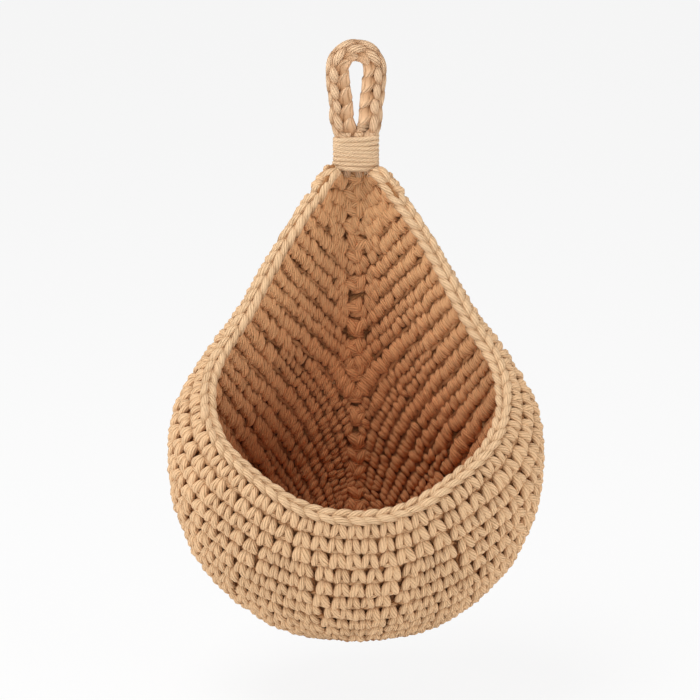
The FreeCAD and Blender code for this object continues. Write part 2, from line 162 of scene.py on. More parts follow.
def skin(points):
    """How far outside the middle skin each point is, and which way that grows."""
    height = points[..., 2]
    square, ratio, centre = (np.interp(height, LEVELS, v) for v in (SQUARE, RATIO, CENTRE))
    square_slope, ratio_slope, centre_slope = (np.interp(height, LEVELS, v) for v in SLOPES)
    across = points[..., 0]
    along = points[..., 1] - centre
    value = across ** 2 + along ** 2 * ratio - square
    grows = np.stack([
        2 * across,
        2 * along * ratio,
        along ** 2 * ratio_slope - 2 * along * ratio * centre_slope - square_slope,
    ], axis=-1)
    return value, grows


def settle(points, rounds=5):
    """The points moved straight onto the middle skin."""
    for _ in range(rounds):
        value, grows = skin(points)
        size = np.maximum((grows ** 2).sum(axis=-1), 1e-6)
        move = -(value / size)[..., None] * grows
        length = np.linalg.norm(move, axis=-1, keepdims=True)
        points = points + move * np.minimum(1, LONGEST_MOVE / np.maximum(length, 1e-9))
    return points


def outward(points):
    """Directions straight out of the skin."""
    return unit(skin(points)[1])


# Rim line
RIM_BINS = 70
RIM_SMOOTHINGS = 3


def rim_half():
    """The edging's centre line from the middle of the lip to the apex, on the right-hand side."""
    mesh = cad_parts["rim_edging"].data
    place = np.array([v.co for v in mesh.vertices]) / MM
    lean = np.array([v.normal for v in mesh.vertices])
    points = place - lean * EDGING_RADIUS
    points[:, 0] = np.abs(points[:, 0])
    middle = (points[:, 2].min() + points[:, 2].max()) / 2
    turn = np.arctan2(points[:, 0], middle - points[:, 2])
    bins = np.linspace(0, turn.max() + 1e-6, RIM_BINS)
    index = np.digitize(turn, bins)
    means = [points[index == k].mean(axis=0) for k in range(1, len(bins)) if (index == k).any()]
    line = np.array(means)
    first = line[0].copy()
    first[0] = 0
    line[0] = first
    for _ in range(RIM_SMOOTHINGS):
        line[1:-1] = (line[:-2] + 2 * line[1:-1] + line[2:]) / 4
    return line


def along_line(line):
    """Distance run along a line at each of its points."""
    return np.concatenate([[0], np.cumsum(np.linalg.norm(np.diff(line, axis=0), axis=1))])


RIM = rim_half()
RIM_RUN = along_line(RIM)
WHOLE_RIM = np.concatenate([RIM, RIM * MIRROR])
MOUTH_MIDDLE = np.array([0, RIM[:, 1].mean(), (RIM[0, 2] + RIM[-1, 2]) / 2])


# Stitch places
BEND_FROM = -165.0
BEND_FULL = -225.0
BEND_RATE = 0.030
BEND_WIDE = 45.0

# Shares of a stitch that decide where columns start, end and widen
SPREAD_FROM = 1.38
SPREAD_TO = 4
MIDDLE_CLEAR = 0.40
ROW_CLEAR = 0.62
COLUMN_CLEAR = 0.56
NEIGHBOUR_REACH = 1.6
NARROWEST = 0.62
WIDEST = 1.45
MOST_ROWS = 40


def march(now, heading, run, steps=6):
    """Points carried ahead over the skin, turning down towards the base in the lower half."""
    base = np.array([0.0, np.interp(UNDERSIDE, LEVELS, CENTRE), UNDERSIDE])
    for _ in range(steps):
        moved = settle(now + heading * run / steps, 3)
        normal = outward(moved)
        heading = unit(moved - now)
        sink = base - moved
        sink = unit(sink - (sink * normal).sum(axis=1, keepdims=True) * normal)
        pull = np.clip((BEND_FROM - moved[:, 2:]) / (BEND_FROM - BEND_FULL), 0, 1)
        pull = pull * np.exp(-(moved[:, :1] / BEND_WIDE) ** 2)
        heading = heading + pull * BEND_RATE * run / steps * (sink - heading)
        heading = unit(heading - (heading * normal).sum(axis=1, keepdims=True) * normal)
        now = moved
    return now, heading


def rim_starts():
    """Where each column leaves the rim on the right half, and which way."""
    count = int(round(RIM_RUN[-1] / STITCH_WIDE))
    spot = np.arange(count) * RIM_RUN[-1] / (count - 0.5)
    now = settle(smooth_through(RIM_RUN, RIM, spot))
    ahead = smooth_through(RIM_RUN, RIM, np.minimum(spot + 1, RIM_RUN[-1]))
    behind = smooth_through(RIM_RUN, RIM, np.maximum(spot - 1, 0))
    heading = unit(np.cross(outward(now), unit(ahead - behind)))
    away = ((now - MOUTH_MIDDLE) * heading).sum(axis=1)
    heading *= np.sign(away)[:, None]
    now[0, 0] = 0
    heading[0, 0] = 0
    return now, unit(heading)


def with_extra_columns(now, heading, alive):
    """New columns where two neighbours have spread apart."""
    for k in range(len(now) - 1, 0, -1):
        apart = np.linalg.norm(now[k] - now[k - 1])
        spread = SPREAD_FROM * STITCH_WIDE < apart < SPREAD_TO * STITCH_WIDE
        if not (alive[k] and alive[k - 1] and spread):
            continue
        middle = settle((now[k] + now[k - 1])[None] / 2)
        course = unit(heading[k] + heading[k - 1])[None]
        now = np.insert(now, k, middle[0], axis=0)
        heading = np.insert(heading, k, course[0], axis=0)
        alive = np.insert(alive, k, True)
    return now, heading, alive


def row_keeps(now, alive, placed):
    """The columns that still have room for a stitch in this row."""
    keeps = []
    for k in np.flatnonzero(alive):
        here = now[k]
        edge = MIDDLE_CLEAR * STITCH_WIDE
        if k > 0 and here[0] < edge:
            alive[k] = False
            continue
        old = np.linalg.norm(placed - here, axis=1) if len(placed) else np.array([FAR_AWAY])
        same = [np.linalg.norm(now[m] - here) for m in keeps]
        crowded = min(same, default=FAR_AWAY) < COLUMN_CLEAR * STITCH_WIDE
        if crowded or old.min() < ROW_CLEAR * STITCH_TALL:
            alive[k] = False
            continue
        keeps.append(k)
    return keeps


def column_stitches():
    """Centre, down-the-column direction, width share and row of the stitches on the right half."""
    now, heading = rim_starts()
    alive = np.ones(len(now), bool)
    now, heading = march(now, heading, FIRST_ROW + STITCH_TALL / 2)
    placed = np.zeros((0, 3))
    out = []
    for row in range(MOST_ROWS):
        now, heading, alive = with_extra_columns(now, heading, alive)
        keeps = row_keeps(now, alive, placed)
        if not keeps:
            break
        for spot, k in enumerate(keeps):
            near = [keeps[m] for m in (spot - 1, spot + 1) if 0 <= m < len(keeps)]
            gaps = [np.linalg.norm(now[m] - now[k]) for m in near if abs(m - k) <= 2]
            gaps = [g for g in gaps if g < NEIGHBOUR_REACH * STITCH_WIDE] or [STITCH_WIDE]
            wide = np.clip(np.mean(gaps) / STITCH_WIDE, NARROWEST, WIDEST)
            out.append((now[k].copy(), heading[k].copy(), wide, row))
        placed = np.concatenate([placed, now[keeps]])
        now, heading = march(now, heading, STITCH_TALL)
    return out


def both_sides(places):
    """The right half's stitches, and their mirror images apart from the middle column."""
    found = list(places)
    for centre, down, wide, row in places:
        if centre[0] > 0.1:
            found.append((centre * MIRROR, down * MIRROR, wide, row))
    return found


def skin_grid(rounds=120, levels=150):
    """Points all over the closed skin, as a grid of levels and rounds."""
    reach = np.sqrt(np.maximum(SQUARE, 0))
    slant = along_line(np.stack([reach, LEVELS], axis=1))
    height = np.interp(np.linspace(0.004, 1, levels) * slant[-1], slant, LEVELS)
    turn = np.arange(rounds) * 2 * math.pi / rounds
    half_wide = np.sqrt(np.interp(height, LEVELS, SQUARE))
    half_deep = half_wide / np.sqrt(np.interp(height, LEVELS, RATIO))
    centre = np.interp(height, LEVELS, CENTRE)
    x = half_wide[:, None] * np.sin(turn)
    y = centre[:, None] + half_deep[:, None] * np.cos(turn)
    z = np.broadcast_to(height[:, None], x.shape)
    return np.stack([x, y, z], axis=-1)


def cloth_tree():
    """The wall's solids as one tree for nearest-point questions."""
    points = []
    faces = []
    for name in ("bowl", "back_panel"):
        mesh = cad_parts[name].data
        start = len(points)
        points.extend(v.co / MM for v in mesh.vertices)
        faces.extend([start + k for k in p.vertices] for p in mesh.polygons)
    return BVHTree.FromPolygons(points, faces)


# Everything this far under the lip is cloth all round
BELOW_LIP = 12.0
CLOTH_SLACK = 1.2
TREE = cloth_tree()
GRID = skin_grid()
IN_CLOTH = np.array([
    [TREE.find_nearest(Vector(p))[3] < HALF_WALL + CLOTH_SLACK for p in level] for level in GRID
])
IN_CLOTH |= GRID[:, :, 2] < RIM[:, 2].min() - BELOW_LIP


# The middle of the back closes up tighter than the rest
SPINE_HALF = 13.0
SPINE_NEED = 1.22

# Fillers: how many at most, the bare gap that calls for one, and their width
FILLER_MOST = 260
FILLER_GAP = 0.86
FILLER_UNIT = 7.0
FILLER_NARROW = 0.8
FILLER_WIDE = 1.2
RIM_ROOM = 2.0
CHUNK = 500


def with_fillers(places):
    """More stitches where the columns have left the cloth bare."""
    spots = GRID[IN_CLOTH]
    spots = spots[spots[:, 2] < POUCH_HIGH[2] - 1]
    centre = np.array([p[0] for p in places])
    free = np.full(len(spots), FAR_AWAY)
    for k in range(0, len(spots), CHUNK):
        part = spots[k:k + CHUNK]
        near = np.linalg.norm(part[:, None] - centre[None], axis=2).min(axis=1)
        edge = np.linalg.norm(part[:, None] - WHOLE_RIM[None], axis=2).min(axis=1)
        behind = (np.abs(part[:, 0]) < SPINE_HALF) & (part[:, 1] > MOUTH_MIDDLE[1])
        spine = np.where(behind, SPINE_NEED, 1)
        free[k:k + CHUNK] = np.minimum(near, edge + RIM_ROOM) * spine
    found = list(places)
    for _ in range(FILLER_MOST):
        best = int(free.argmax())
        if free[best] < FILLER_GAP * STITCH_WIDE:
            break
        here = spots[best]
        far = np.linalg.norm(centre - here, axis=1)
        close = np.argsort(far)[:3]
        normal = outward(here[None])[0]
        down = unit(sum(places[k][1] for k in close if k < len(places)) + 1e-6)
        down = unit(down - (down @ normal) * normal)
        wide = float(np.clip(free[best] / FILLER_UNIT, FILLER_NARROW, FILLER_WIDE))
        found.append((here, down, wide, 1))
        free = np.minimum(free, np.linalg.norm(spots - here, axis=1))
    return found


PLACES = with_fillers(both_sides(column_stitches()))
CENTRES, DOWNS, WIDES, ROWS = (np.array([p[k] for p in PLACES]) for k in range(4))
NORMALS = outward(CENTRES)
ACROSS = unit(np.cross(DOWNS, NORMALS)) * np.where(CENTRES[:, :1] < 0, -1, 1)


# Painted shade in the crevices: distance from the middle skin at which a stitch's colour starts and stops
# darkening, its share and its tint
PAINTED_CREVICE_SHADE_TOP = 3.6
PAINTED_CREVICE_SHADE_FOOT = 0.6
PAINTED_CREVICE_SHADE_SHARE = 0.85
PAINTED_CREVICE_SHADE_TINT = (0.52, 0.36, 0.24)

# Painted shade: the cord is darkened and reddened far from the rim inside the pouch
PAINTED_DEPTH_SHADE_FROM = 30.0
PAINTED_DEPTH_SHADE_RUN = 52.0
PAINTED_DEPTH_SHADE_TINT = (0.84, 0.635, 0.545)


# Strands: share of each strand's length, at either end, that takes painted shade
END_SHADE_SHARE = 0.32


def strand_shape(controls, rings):
    """Places and radii along one strand, smooth through its controls."""
    controls = np.array(controls, float)
    run = along_line(controls[:, :3])
    return smooth_through(run, controls, np.linspace(0, run[-1], rings))


def tube_mesh(lines, radii, lean, sides, flat=1.0, power=1.0):
    """Vertices, faces and around-and-along coordinates of many tubes at once."""
    many, rings = lines.shape[:2]
    ahead = np.empty_like(lines)
    ahead[:, 1:-1] = lines[:, 2:] - lines[:, :-2]
    ahead[:, 0] = lines[:, 1] - lines[:, 0]
    ahead[:, -1] = lines[:, -1] - lines[:, -2]
    ahead = unit(ahead)
    up = np.empty_like(lines)
    now = lean
    for k in range(rings):
        now = lean[:, k] if lean.ndim == 3 else now
        now = unit(now - (now * ahead[:, k]).sum(axis=1, keepdims=True) * ahead[:, k])
        up[:, k] = now
    side = np.cross(ahead, up)
    turn = np.arange(sides) * 2 * math.pi / sides + math.pi
    rise = flat * np.sign(np.cos(turn)) * np.abs(np.cos(turn)) ** power
    reach = np.sign(np.sin(turn)) * np.abs(np.sin(turn)) ** power
    spread = up[:, :, None] * rise[:, None] + side[:, :, None] * reach[:, None]
    points = lines[:, :, None] + spread * radii[:, :, None, None]
    run = np.concatenate([
        np.zeros((many, 1)),
        np.cumsum(np.linalg.norm(np.diff(lines, axis=1), axis=2), axis=1),
    ], axis=1)
    ring = np.arange(rings - 1)[:, None]
    spot = np.arange(sides)[None, :]
    after = (spot + 1) % sides
    quads = np.stack([
        ring * sides + spot + 0 * after,
        ring * sides + after + 0 * spot,
        (ring + 1) * sides + after,
        (ring + 1) * sides + spot + 0 * after,
    ], axis=-1).reshape(-1, 4)
    base = np.arange(many)[:, None, None] * rings * sides
    faces = (quads[None] + base).reshape(-1, 4)
    around = np.stack([spot, spot + 1, spot + 1, spot], axis=-1) / sides
    around = np.broadcast_to(around, (rings - 1, sides, 4))
    low = run[:, :-1, None]
    high = run[:, 1:, None]
    length = np.stack([low, low, high, high], axis=-1)
    length = np.broadcast_to(length, (many, rings - 1, sides, 4))
    around = np.broadcast_to(around[None], (many, rings - 1, sides, 4))
    coords = np.stack([around, length], axis=-1).reshape(-1, 2)
    caps = np.concatenate([
        base[:, 0] + np.arange(sides)[None, ::-1],
        base[:, 0] + (rings - 1) * sides + np.arange(sides)[None, :],
    ])
    return points.reshape(-1, 3), faces, coords, caps


def tube_object(name, groups, shades, material, sides, flat=1.0, power=1.0, crevice_shade_paint=0.0, painted_depth_shade=None,
                end_shade_paint=0.0):
    """One mesh piece from groups of tubes: each group is lines, radii and a lean."""
    points = []
    faces = []
    coords = []
    caps = []
    tints = []
    end_shade_parts = []
    lows = []
    start = 0
    for (lines, radii, lean), shade in zip(groups, shades):
        p, f, c, e = tube_mesh(lines, radii, lean, sides, flat, power)
        points.append(p)
        faces.append(f + start)
        caps.append(e + start)
        coords.append(c)
        tints.append(np.repeat(shade, lines.shape[1] * sides))
        ring = np.arange(lines.shape[1])
        tip = np.clip(1 - np.minimum(ring, ring[::-1]) / (END_SHADE_SHARE * len(ring)), 0, 1)
        end_shade_parts.append(np.tile(np.repeat(tip, sides), len(lines)))
        lows.append(np.repeat(painted_depth_shade[len(lows)] if painted_depth_shade else 0 * shade, lines.shape[1] * sides))
        start += len(p)
    points = np.concatenate(points) * MM
    faces = np.concatenate(faces)
    caps = np.concatenate(caps)
    coords = np.concatenate(coords)
    mesh = bpy.data.meshes.new(name)
    mesh.vertices.add(len(points))
    mesh.vertices.foreach_set("co", points.astype(np.float32).ravel())
    corners = np.concatenate([faces.ravel(), caps.ravel()])
    mesh.loops.add(len(corners))
    mesh.loops.foreach_set("vertex_index", corners.astype(np.int32))
    starts = np.concatenate([
        np.arange(len(faces)) * 4,
        len(faces) * 4 + np.arange(len(caps)) * sides,
    ])
    mesh.polygons.add(len(starts))
    mesh.polygons.foreach_set("loop_start", starts.astype(np.int32))
    mesh.update(calc_edges=True)
    layer = mesh.uv_layers.new(name="Strand")
    corner = np.concatenate([coords, np.zeros((caps.size, 2))])
    layer.data.foreach_set("uv", corner.astype(np.float32).ravel())
    value, grows = skin(points / MM)
    off = np.abs(value) / np.maximum(np.linalg.norm(grows, axis=1), 1e-6)
    # Painted shade: strands darken where they lie close to the middle skin, in the crevices
    painted_shade_amount = crevice_shade_paint * np.clip((PAINTED_CREVICE_SHADE_TOP - off) / (PAINTED_CREVICE_SHADE_TOP - PAINTED_CREVICE_SHADE_FOOT), 0, 1)
    # Painted shade on the end share of each strand
    painted_shade_amount = painted_shade_amount + end_shade_paint * np.concatenate(end_shade_parts)
    # Painted shade deep inside the pouch, one value per group
    low = np.concatenate(lows)
    deep = mesh.attributes.new("deep", "FLOAT", "POINT")
    deep.data.foreach_set("value", painted_shade_amount.astype(np.float32))
    depth_shade_paint = mesh.attributes.new("depth_shade_paint", "FLOAT", "POINT")
    depth_shade_paint.data.foreach_set("value", low.astype(np.float32))
    tint = mesh.attributes.new("shade", "FLOAT", "POINT")
    tint.data.foreach_set("value", np.concatenate(tints).astype(np.float32))
    mesh.polygons.foreach_set("use_smooth", np.ones(len(starts), bool))
    mesh.materials.append(material)
    mesh.validate()
    piece = bpy.data.objects.new(name, mesh)
    bpy.context.scene.collection.objects.link(piece)
    return piece


# Materials: shares of fibre, ply, patch and strand in the tone, where its dark end lies, and their
# fineness; the ply's share is painted shade in the grooves between plies
FIBRE_TONE = 1.0
PLY_GROOVE_SHADE_TONE = 0.46
PATCH_TONE = 0.22
STRAND_TONE = 0.26
DARK_END = 0.57
FIBRE_FINE = 24.0
FIBRE_LONG = 0.34
STRAND_SHIFT = 57.0
PATCH_FINE = 55.0
PLY_HIGH = 0.8
FIBRE_HIGH = 1.1
PLY_ROUND = 0.6


def cord_material(name, light, dark, twist, plies):
    """Twisted cotton cord, from its light and dark tone and its lay."""
    material = bpy.data.materials.new(name)
    material.use_nodes = True
    nodes = material.node_tree.nodes
    links = material.node_tree.links
    shader = nodes["Principled BSDF"]
    shader.inputs["Roughness"].default_value = 0.82
    shader.inputs["Specular IOR Level"].default_value = 0.12
    shader.inputs["Sheen Weight"].default_value = 0.03
    shader.inputs["Sheen Roughness"].default_value = 0.5

    def node(kind, **values):
        made = nodes.new(kind)
        for key, value in values.items():
            setattr(made, key, value)
        return made

    def maths(operation, first, second=None):
        made = node("ShaderNodeMath", operation=operation)
        for socket, value in zip(made.inputs, (first, second)):
            if value is None:
                continue
            if isinstance(value, (int, float)):
                socket.default_value = value
            else:
                links.new(value, socket)
        return made.outputs[0]

    uv = node("ShaderNodeUVMap", uv_map="Strand")
    split = node("ShaderNodeSeparateXYZ")
    links.new(uv.outputs[0], split.inputs[0])
    shade = node("ShaderNodeAttribute", attribute_name="shade")
    lay = maths("ADD", split.outputs[0], maths("DIVIDE", split.outputs[1], twist))
    ply = maths("ABSOLUTE", maths("SINE", maths("MULTIPLY", lay, math.pi * plies)))
    ply = maths("POWER", ply, PLY_ROUND)
    place = node("ShaderNodeCombineXYZ")
    links.new(maths("MULTIPLY", lay, FIBRE_FINE), place.inputs[0])
    links.new(maths("MULTIPLY", split.outputs[1], FIBRE_LONG), place.inputs[1])
    links.new(maths("MULTIPLY", shade.outputs["Fac"], STRAND_SHIFT), place.inputs[2])
    fibre = node("ShaderNodeTexNoise")
    fibre.inputs["Scale"].default_value = 1.0
    fibre.inputs["Detail"].default_value = 4.0
    fibre.inputs["Roughness"].default_value = 0.66
    links.new(place.outputs[0], fibre.inputs["Vector"])
    where = node("ShaderNodeTexCoord")
    patch = node("ShaderNodeTexNoise")
    patch.inputs["Scale"].default_value = PATCH_FINE
    patch.inputs["Detail"].default_value = 2.0
    links.new(where.outputs["Object"], patch.inputs["Vector"])
    # The ply's share darkens the grooves between plies: painted shade
    tone = maths("ADD", maths("MULTIPLY", fibre.outputs[0], FIBRE_TONE), maths("MULTIPLY", ply, PLY_GROOVE_SHADE_TONE))
    tone = maths("ADD", tone, maths("MULTIPLY", patch.outputs[0], PATCH_TONE))
    tone = maths("ADD", tone, maths("MULTIPLY", shade.outputs["Fac"], STRAND_TONE))
    ramp = node("ShaderNodeValToRGB")
    ramp.color_ramp.elements[0].position = DARK_END
    ramp.color_ramp.elements[0].color = (*dark, 1)
    ramp.color_ramp.elements[1].position = 1.0
    ramp.color_ramp.elements[1].color = (*light, 1)
    links.new(tone, ramp.inputs[0])
    # Painted shade of the crevices and strand ends, from the 'deep' attribute, multiplied in as a dark tint
    crevice_shade_attr = node("ShaderNodeAttribute", attribute_name="deep")
    paint_crevice_shade = node("ShaderNodeMix", data_type="RGBA", blend_type="MULTIPLY")
    paint_crevice_shade.inputs[7].default_value = (*PAINTED_CREVICE_SHADE_TINT, 1)
    links.new(maths("MULTIPLY", crevice_shade_attr.outputs["Fac"], PAINTED_CREVICE_SHADE_SHARE), paint_crevice_shade.inputs[0])
    links.new(ramp.outputs[0], paint_crevice_shade.inputs[6])
    # Painted shade deep inside the pouch, multiplied in as a darker, redder tint
    shadow = node("ShaderNodeAttribute", attribute_name="depth_shade_paint")
    paint_depth_shade = node("ShaderNodeMix", data_type="RGBA", blend_type="MULTIPLY")
    paint_depth_shade.inputs[7].default_value = (*PAINTED_DEPTH_SHADE_TINT, 1)
    links.new(shadow.outputs["Fac"], paint_depth_shade.inputs[0])
    links.new(paint_crevice_shade.outputs[2], paint_depth_shade.inputs[6])
    links.new(paint_depth_shade.outputs[2], shader.inputs["Base Color"])
    height = maths("ADD", maths("MULTIPLY", ply, PLY_HIGH), maths("MULTIPLY", fibre.outputs[0], FIBRE_HIGH))
    bump = node("ShaderNodeBump")
    bump.inputs["Strength"].default_value = 0.9
    bump.inputs["Distance"].default_value = 0.0009
    links.new(height, bump.inputs["Height"])
    links.new(bump.outputs[0], shader.inputs["Normal"])
    return material


POUCH_CORD = cord_material("pouch_cord", (0.84, 0.55, 0.315), (0.43, 0.215, 0.085), 38.0, 9)
# Painted shade: a redder, more saturated copy of the pouch cord for the inside faces
INSIDE_CORD_PAINTED_SHADE = cord_material("pouch_cord_inside_painted_shade", (0.91, 0.525, 0.260), (0.46, 0.185, 0.066), 38.0, 9)
# Painted shade: dark brown for the backing sheet, standing for cord in shadow between the strands
BACKING_PAINTED_SHADE_CORD = cord_material("backing_cord_painted_shade", (0.30, 0.125, 0.045), (0.20, 0.075, 0.025), 38.0, 9)
EDGING_CORD = cord_material("edging_cord", (0.83, 0.56, 0.33), (0.46, 0.24, 0.10), 34.0, 8)


# Stitches of the pouch: across, down, out of the skin and radius along each strand
OUTSIDE = (
    ((-0.4, -6.1, -0.9, 0.9), (-0.85, -4.4, 1.1, 1.8), (-1.8, -0.9, 2.7, 2.45), (-2.6, 2.3, 2.4, 2.3),
     (-3.2, 5.0, 0.3, 1.6), (-3.4, 6.0, -1.0, 0.9)),
    ((0.5, -6.0, -0.9, 0.9), (1.0, -4.2, 1.1, 1.8), (2.0, -0.7, 2.6, 2.45), (2.7, 2.4, 2.3, 2.3),
     (3.2, 5.0, 0.3, 1.6), (3.4, 6.0, -1.0, 0.9)),
    ((-2.6, 4.3, -0.9, 1.3), (-1.2, 3.8, 1.0, 1.9), (1.2, 3.9, 1.0, 1.9), (2.6, 4.4, -0.9, 1.3)),
    ((-4.9, -4.8, -0.3, 1.4), (-3.6, -5.2, 0.3, 1.75), (0.0, -5.4, 0.3, 1.75), (3.6, -5.2, 0.3, 1.75),
     (4.9, -4.8, -0.3, 1.4)),
)
VALLEY = ((4.3, -5.6, -0.4, 1.3), (4.35, -1.8, -0.6, 1.5), (4.35, 1.8, -0.6, 1.5), (4.3, 5.6, -0.4, 1.3))
INSIDE = (
    ((-3.7, -4.6, -0.2, 1.15), (-2.4, -4.6, -2.0, 1.9), (0.0, -3.9, -3.2, 2.3), (2.2, -2.6, -2.2, 1.9),
     (3.5, -1.6, -0.2, 1.1)),
    ((-3.6, -1.9, -0.2, 1.1), (-2.3, -1.4, -1.9, 1.8), (-0.2, -0.4, -2.7, 2.0), (2.2, 0.9, -2.0, 1.9),
     (3.6, 1.6, -0.2, 1.1)),
    ((-3.6, 1.2, -0.2, 1.1), (-2.4, 1.8, -2.2, 1.9), (0.0, 2.9, -3.1, 2.25), (2.3, 4.4, -2.0, 1.9),
     (3.6, 5.2, -0.2, 1.15)),
    VALLEY,
)
# Strength of the painted crevice shade on the outside and inside faces
PAINTED_CREVICE_SHADE_BY_FACE = {"outside": 1.7, "inside": 1.0}
OUTSIDE_SWAY = 0.28
INSIDE_SWAY = 0.42
OUTSIDE_TILT = 0.07
INSIDE_TILT = 0.13
SWELL_SPREAD = 0.075
SPINE_STITCH = 3.0
SPINE = (
    ((-5.0, -4.8, -0.6, 1.4), (-3.3, -3.0, -2.3, 2.3), (-1.4, 0.2, -3.0, 2.5), (0.3, 3.8, -0.8, 1.5)),
    ((5.0, -4.4, -0.6, 1.4), (3.3, -2.5, -2.2, 2.3), (1.5, 0.8, -2.9, 2.5), (-0.2, 4.2, -0.8, 1.5)),
    ((-4.2, -3.2, -0.4, 1.5), (-1.6, -3.4, -1.4, 2.1), (1.6, -3.3, -1.4, 2.1), (4.2, -3.0, -0.4, 1.5)),
    ((-4.2, 0.6, -0.3, 1.5), (-1.6, 0.4, -1.2, 2.1), (1.6, 0.5, -1.2, 2.1), (4.2, 0.8, -0.3, 1.5)),
    ((-4.2, 4.2, -0.3, 1.5), (-1.6, 4.0, -1.2, 2.1), (1.6, 4.1, -1.2, 2.1), (4.2, 4.4, -0.3, 1.5)),
)
ROW_DRIFT = CHANCE.uniform(-0.25, 0.25, 60)
SIDES = 8
RINGS = 10


def stitched(chosen, controls, rings, sway):
    """Tubes of one strand of the pattern, laid on the skin at the chosen stitches."""
    shape = strand_shape(controls, rings)
    many = len(chosen)
    outside = controls[1][2] > 0
    nudge = CHANCE.normal(0, sway, (many, 3))
    tilt = CHANCE.normal(0, OUTSIDE_TILT if outside else INSIDE_TILT, many)
    swell = 1 + CHANCE.normal(0, SWELL_SPREAD, many)
    u = shape[None, :, 0] + nudge[:, 0, None] - tilt[:, None] * shape[None, :, 1]
    v = shape[None, :, 1] + nudge[:, 1, None] + tilt[:, None] * shape[None, :, 0]
    w = shape[None, :, 2] + 0.6 * nudge[:, 2, None]
    if outside:
        hand = np.where(CENTRES[chosen, 0] < 0, -1, 1)
        u = u + STITCH_WIDE * (hand * ROW_DRIFT[ROWS[chosen].astype(int)])[:, None]
    u = u * WIDES[chosen, None]
    flat = (
        CENTRES[chosen, None]
        + u[:, :, None] * ACROSS[chosen, None]
        + v[:, :, None] * DOWNS[chosen, None]
    )
    base = settle(flat, 4)
    normal = outward(base)
    lines = base + w[:, :, None] * normal
    squeeze = np.clip(WIDES[chosen], 0.7, 1.3) ** 0.75
    radii = shape[None, :, 3] * (swell * squeeze)[:, None]
    face = normal[:, 0] * np.sign(controls[1][2])
    return lines, radii, face


def far_from_rim():
    """How much painted shade each stitch gets on its inner face, growing with distance from the rim."""
    far = np.linalg.norm(CENTRES[:, None] - WHOLE_RIM[None], axis=2).min(axis=1)
    return np.clip((far - PAINTED_DEPTH_SHADE_FROM) / PAINTED_DEPTH_SHADE_RUN, 0, 1)


def pouch_pieces():
    """Eight pieces: front and back, left and right, outside and inside."""
    side = np.where(CENTRES[:, 0] < 0, "left", "right")
    front = CENTRES[:, 1] < np.median(CENTRES[:, 1])
    spine = (np.abs(CENTRES[:, 0]) < SPINE_STITCH) & (CENTRES[:, 1] > MOUTH_MIDDLE[1])
    depth_shade_paint = far_from_rim()
    made = []
    zones = {"bowl_front": front, "pouch_back": ~front}
    for zone, mask in zones.items():
        for hand in ("left", "right"):
            chosen = np.flatnonzero(mask & (side == hand))
            for face in ("outside", "inside"):
                sets = [(chosen, controls, OUTSIDE_SWAY) for controls in OUTSIDE]
                cord = POUCH_CORD
                if face == "inside":
                    sets = [(chosen[~spine[chosen]], controls, INSIDE_SWAY) for controls in INSIDE]
                    sets += [(chosen[spine[chosen]], controls, INSIDE_SWAY) for controls in SPINE]
                    sets = [s for s in sets if len(s[0])]
                    # The inside faces take the shaded copy of the cord: painted shade
                    cord = INSIDE_CORD_PAINTED_SHADE
                groups = [stitched(part, controls, RINGS, sway) for part, controls, sway in sets]
                tint = CHANCE.random(len(CENTRES))
                shades = [0.7 * tint[part] + 0.3 * CHANCE.random(len(part)) for part, _, _ in sets]
                # Painted shade on the inside faces, growing with distance from the rim
                lows = [depth_shade_paint[part] * (face == "inside") for part, _, _ in sets]
                name = f"{zone}_{hand}_{face}"
                piece = tube_object(name, groups, shades, cord, SIDES, crevice_shade_paint=PAINTED_CREVICE_SHADE_BY_FACE[face], painted_depth_shade=lows)
                made.append(piece)
    return made


for piece in pouch_pieces():
    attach(piece, "basket")
    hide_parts("bowl", "back_panel")


# Backing of the stitches
BACKING_THICK = 0.8


def backing():
    """A thin sheet in the middle of the wall, seen between the strands: a stand-in for the cord there, dark
    with painted shade.
    """
    levels, rounds = IN_CLOTH.shape
    points = GRID.reshape(-1, 3)
    faces = []
    for k in range(levels - 1):
        for m in range(rounds):
            after = (m + 1) % rounds
            if IN_CLOTH[k:k + 2, [m, after]].all():
                low = k * rounds
                high = low + rounds
                faces.append((low + m, low + after, high + after, high + m))
    faces.append(tuple(range(rounds))[::-1])
    used = sorted({v for f in faces for v in f})
    place = {v: k for k, v in enumerate(used)}
    mesh = bpy.data.meshes.new("pouch_backing")
    mesh.from_pydata([tuple(points[v] * MM) for v in used], [], [[place[v] for v in f] for f in faces])
    mesh.polygons.foreach_set("use_smooth", [True] * len(mesh.polygons))
    mesh.uv_layers.new(name="Strand")
    mesh.materials.append(BACKING_PAINTED_SHADE_CORD)
    piece = bpy.data.objects.new("pouch_backing", mesh)
    bpy.context.scene.collection.objects.link(piece)
    thick = piece.modifiers.new("thickness", "SOLIDIFY")
    thick.thickness = BACKING_THICK * MM
    thick.offset = 0
    return piece


backing_piece = backing()
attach(backing_piece, "basket")


# Braided rim
RIM_LINK = 8.7
CORE_RINGS = 150


def full_rim():
    """The rim from one end beside the apex to the other, with its run."""
    tip = POUCH_HIGH[2]
    end = np.array([[18.3, -13.0, tip - 5.0], [14.6, -10.2, tip - 0.8], [11.0, -7.6, tip + 2.5]])
    half = np.concatenate([RIM, end])
    line = np.concatenate([half[::-1] * MIRROR, half[1:]])
    return line, along_line(line)


RIM_LINE, RIM_ALONG = full_rim()


